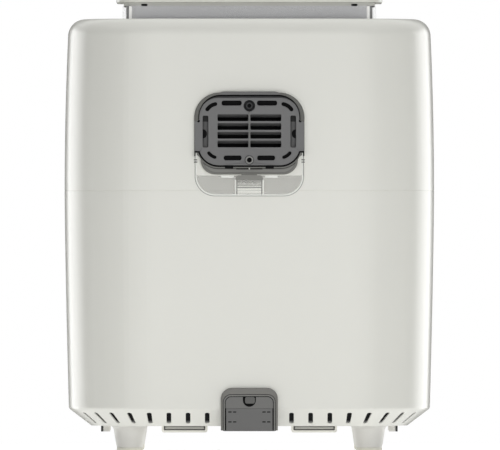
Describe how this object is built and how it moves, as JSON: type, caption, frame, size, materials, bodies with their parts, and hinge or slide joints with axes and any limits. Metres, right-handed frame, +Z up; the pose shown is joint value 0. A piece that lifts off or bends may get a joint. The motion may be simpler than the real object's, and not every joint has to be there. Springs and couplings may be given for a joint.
{
  "type": "steam air fryer",
  "caption": "Tall rounded basket air fryer with a pull-out windowed drawer, rear exhaust vent over a drip cup, and a lift-out water tank in the top.",
  "frame": {"origin": "bottom centre of the whole appliance's box, on the surface it stands on", "axes": "+Z up; -Y is the front, the way the drawer pulls out; +Y is the back with the vent; +X is to the right of someone facing the back"},
  "size_m": [0.304, 0.3908, 0.3818],
  "materials": {
    "shell_plastic": "satin warm white",
    "base_plastic": "satin warm white",
    "grey_plastic": "fine grain mid grey",
    "dark_plastic": "fine grain dark grey",
    "trim_plastic": "smooth light grey",
    "heatproof_plastic": "fine grain",
    "clear_plastic": "clear, polished",
    "tempered_glass": "tinted, polished",
    "display_plastic": "polished",
    "silicone": "matt light grey",
    "grey_silicone": "matt grey",
    "red_silicone": "matt",
    "coated_steel": "non-stick coating",
    "galvanised_steel": "bare sheet",
    "turned_steel": "turned",
    "heater_steel": "heat-blued tube",
    "cast_aluminium": "as cast",
    "sheet_aluminium": "bare sheet",
    "motor_steel": "grey enamel",
    "bearing_bronze": "sintered",
    "ceramic_wool": "felted",
    "circuit_board": "solder mask"
  },
  "bodies": {
    "housing": {"upper_shell": "shell_plastic", "lower_shell": "shell_plastic", "base_plate": "base_plastic", "front_frame": "heatproof_plastic", "front_shelf": "base_plastic", "leg_rear_left": "base_plastic", "leg_rear_right": "base_plastic", "leg_front_left": "base_plastic", "leg_front_right": "base_plastic", "pad_rear_left": "silicone", "pad_rear_right": "silicone", "pad_front_left": "silicone", "pad_front_right": "silicone", "cord_cleat_left": "base_plastic", "cord_cleat_right": "base_plastic", "base_screws": "turned_steel", "vent_frame": "grey_plastic", "vent_grille": "grey_plastic", "vent_screws": "turned_steel", "exhaust_duct": "galvanised_steel", "outlet_housing": "grey_plastic", "outlet_cover": "grey_plastic", "cord_gland": "grey_silicone", "cavity_liner": "galvanised_steel", "drawer_rails": "galvanised_steel", "insulation_mat": "ceramic_wool", "heater_element": "heater_steel", "motor_bracket": "galvanised_steel", "motor": "motor_steel", "motor_bearings": "bearing_bronze", "tank_well": "trim_plastic", "water_pump": "trim_plastic", "steam_generator": "cast_aluminium", "water_hoses": "silicone", "power_board": "circuit_board", "control_fascia": "dark_plastic", "display_lens": "display_plastic", "control_board": "circuit_board"},
    "drawer": {"drawer_front": "shell_plastic", "drawer_back": "heatproof_plastic", "window_bezel": "grey_plastic", "window_glass": "tempered_glass", "window_sleeve": "heatproof_plastic", "handle": "shell_plastic", "pot": "coated_steel", "pot_glass": "tempered_glass"},
    "crisper": {"crisper_plate": "coated_steel", "crisper_feet": "red_silicone"},
    "tank": {"water_tank": "clear_plastic"},
    "lid": {"tank_lid": "shell_plastic", "lid_gasket": "grey_silicone", "lid_plug": "trim_plastic"},
    "cup": {"drip_cup": "clear_plastic", "cup_latch": "grey_plastic"},
    "rotor": {"motor_shaft": "turned_steel", "convection_fan": "sheet_aluminium", "cooling_fan": "dark_plastic"},
    "knob": {"selector_knob": "trim_plastic"},
    "power_key": {"power_button": "trim_plastic"},
    "steam_key": {"steam_button": "trim_plastic"}
  },
  "joints": [
    {"name": "drawer_slide", "type": "slide", "parent": "housing", "child": "drawer", "axis": [0, -1, 0], "range_m": [0, 0.225]},
    {"name": "crisper_lift", "type": "slide", "parent": "drawer", "child": "crisper", "axis": [0, 0, 1], "range_m": [0, 0.1]},
    {"name": "tank_lift", "type": "slide", "parent": "housing", "child": "tank", "axis": [0, 0, 1], "range_m": [0, 0.07]},
    {"name": "lid_lift", "type": "slide", "parent": "tank", "child": "lid", "axis": [0, 0, 1], "range_m": [0, 0.04]},
    {"name": "cup_pull", "type": "slide", "parent": "housing", "child": "cup", "axis": [0, 1, 0], "range_m": [0, 0.035]},
    {"name": "fan_spin", "type": "hinge", "parent": "housing", "child": "rotor", "pos_m": [0, 0.0338, 0.2425], "axis": [0, 0, 1], "continuous": true},
    {"name": "knob_turn", "type": "hinge", "parent": "housing", "child": "knob", "pos_m": [0, -0.16045, 0.2705], "axis": [0, 1, 0], "continuous": true},
    {"name": "power_press", "type": "slide", "parent": "housing", "child": "power_key", "axis": [0, 1, 0], "range_m": [0, 0.0012], "stiffness_N_per_m": 400},
    {"name": "steam_press", "type": "slide", "parent": "housing", "child": "steam_key", "axis": [0, 1, 0], "range_m": [0, 0.0012], "stiffness_N_per_m": 400}
  ]
}
